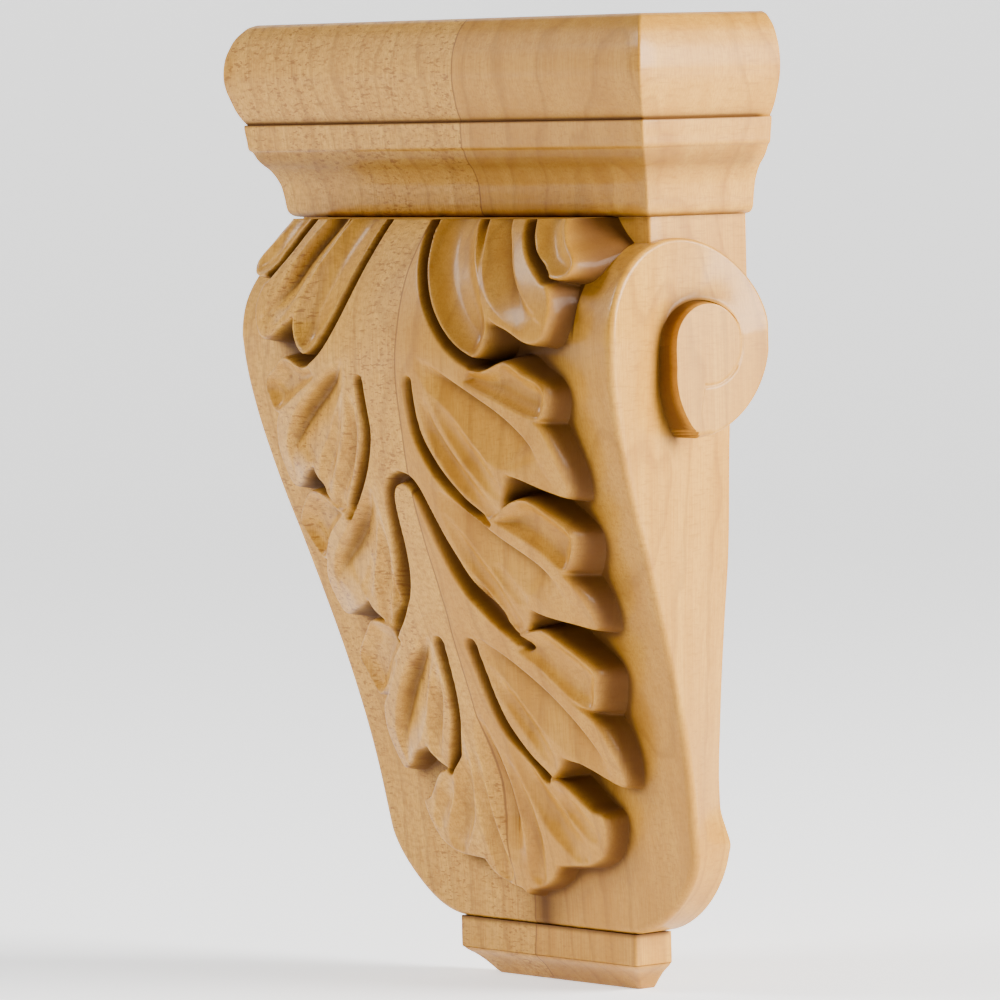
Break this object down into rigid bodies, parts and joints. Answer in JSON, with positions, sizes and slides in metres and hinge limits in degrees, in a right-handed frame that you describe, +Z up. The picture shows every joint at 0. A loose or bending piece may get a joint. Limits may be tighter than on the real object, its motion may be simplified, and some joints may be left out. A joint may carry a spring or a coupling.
{
  "type": "corbel bracket",
  "caption": "Low-profile carved wooden corbel: moulded cap over a scrolled console with an acanthus leaf on its front and a small bevelled foot.",
  "frame": {"origin": "on the flat back face that stands on the wall, at mid-width and mid-height", "axes": "+X to the right seen from the front, +Y into the wall, so the carved front looks along -Y, and +Z up"},
  "size_m": [0.1716, 0.0646, 0.254],
  "materials": {
    "maple": "satin"
  },
  "bodies": {
    "root": {"corbel": "maple"}
  },
  "joints": []
}
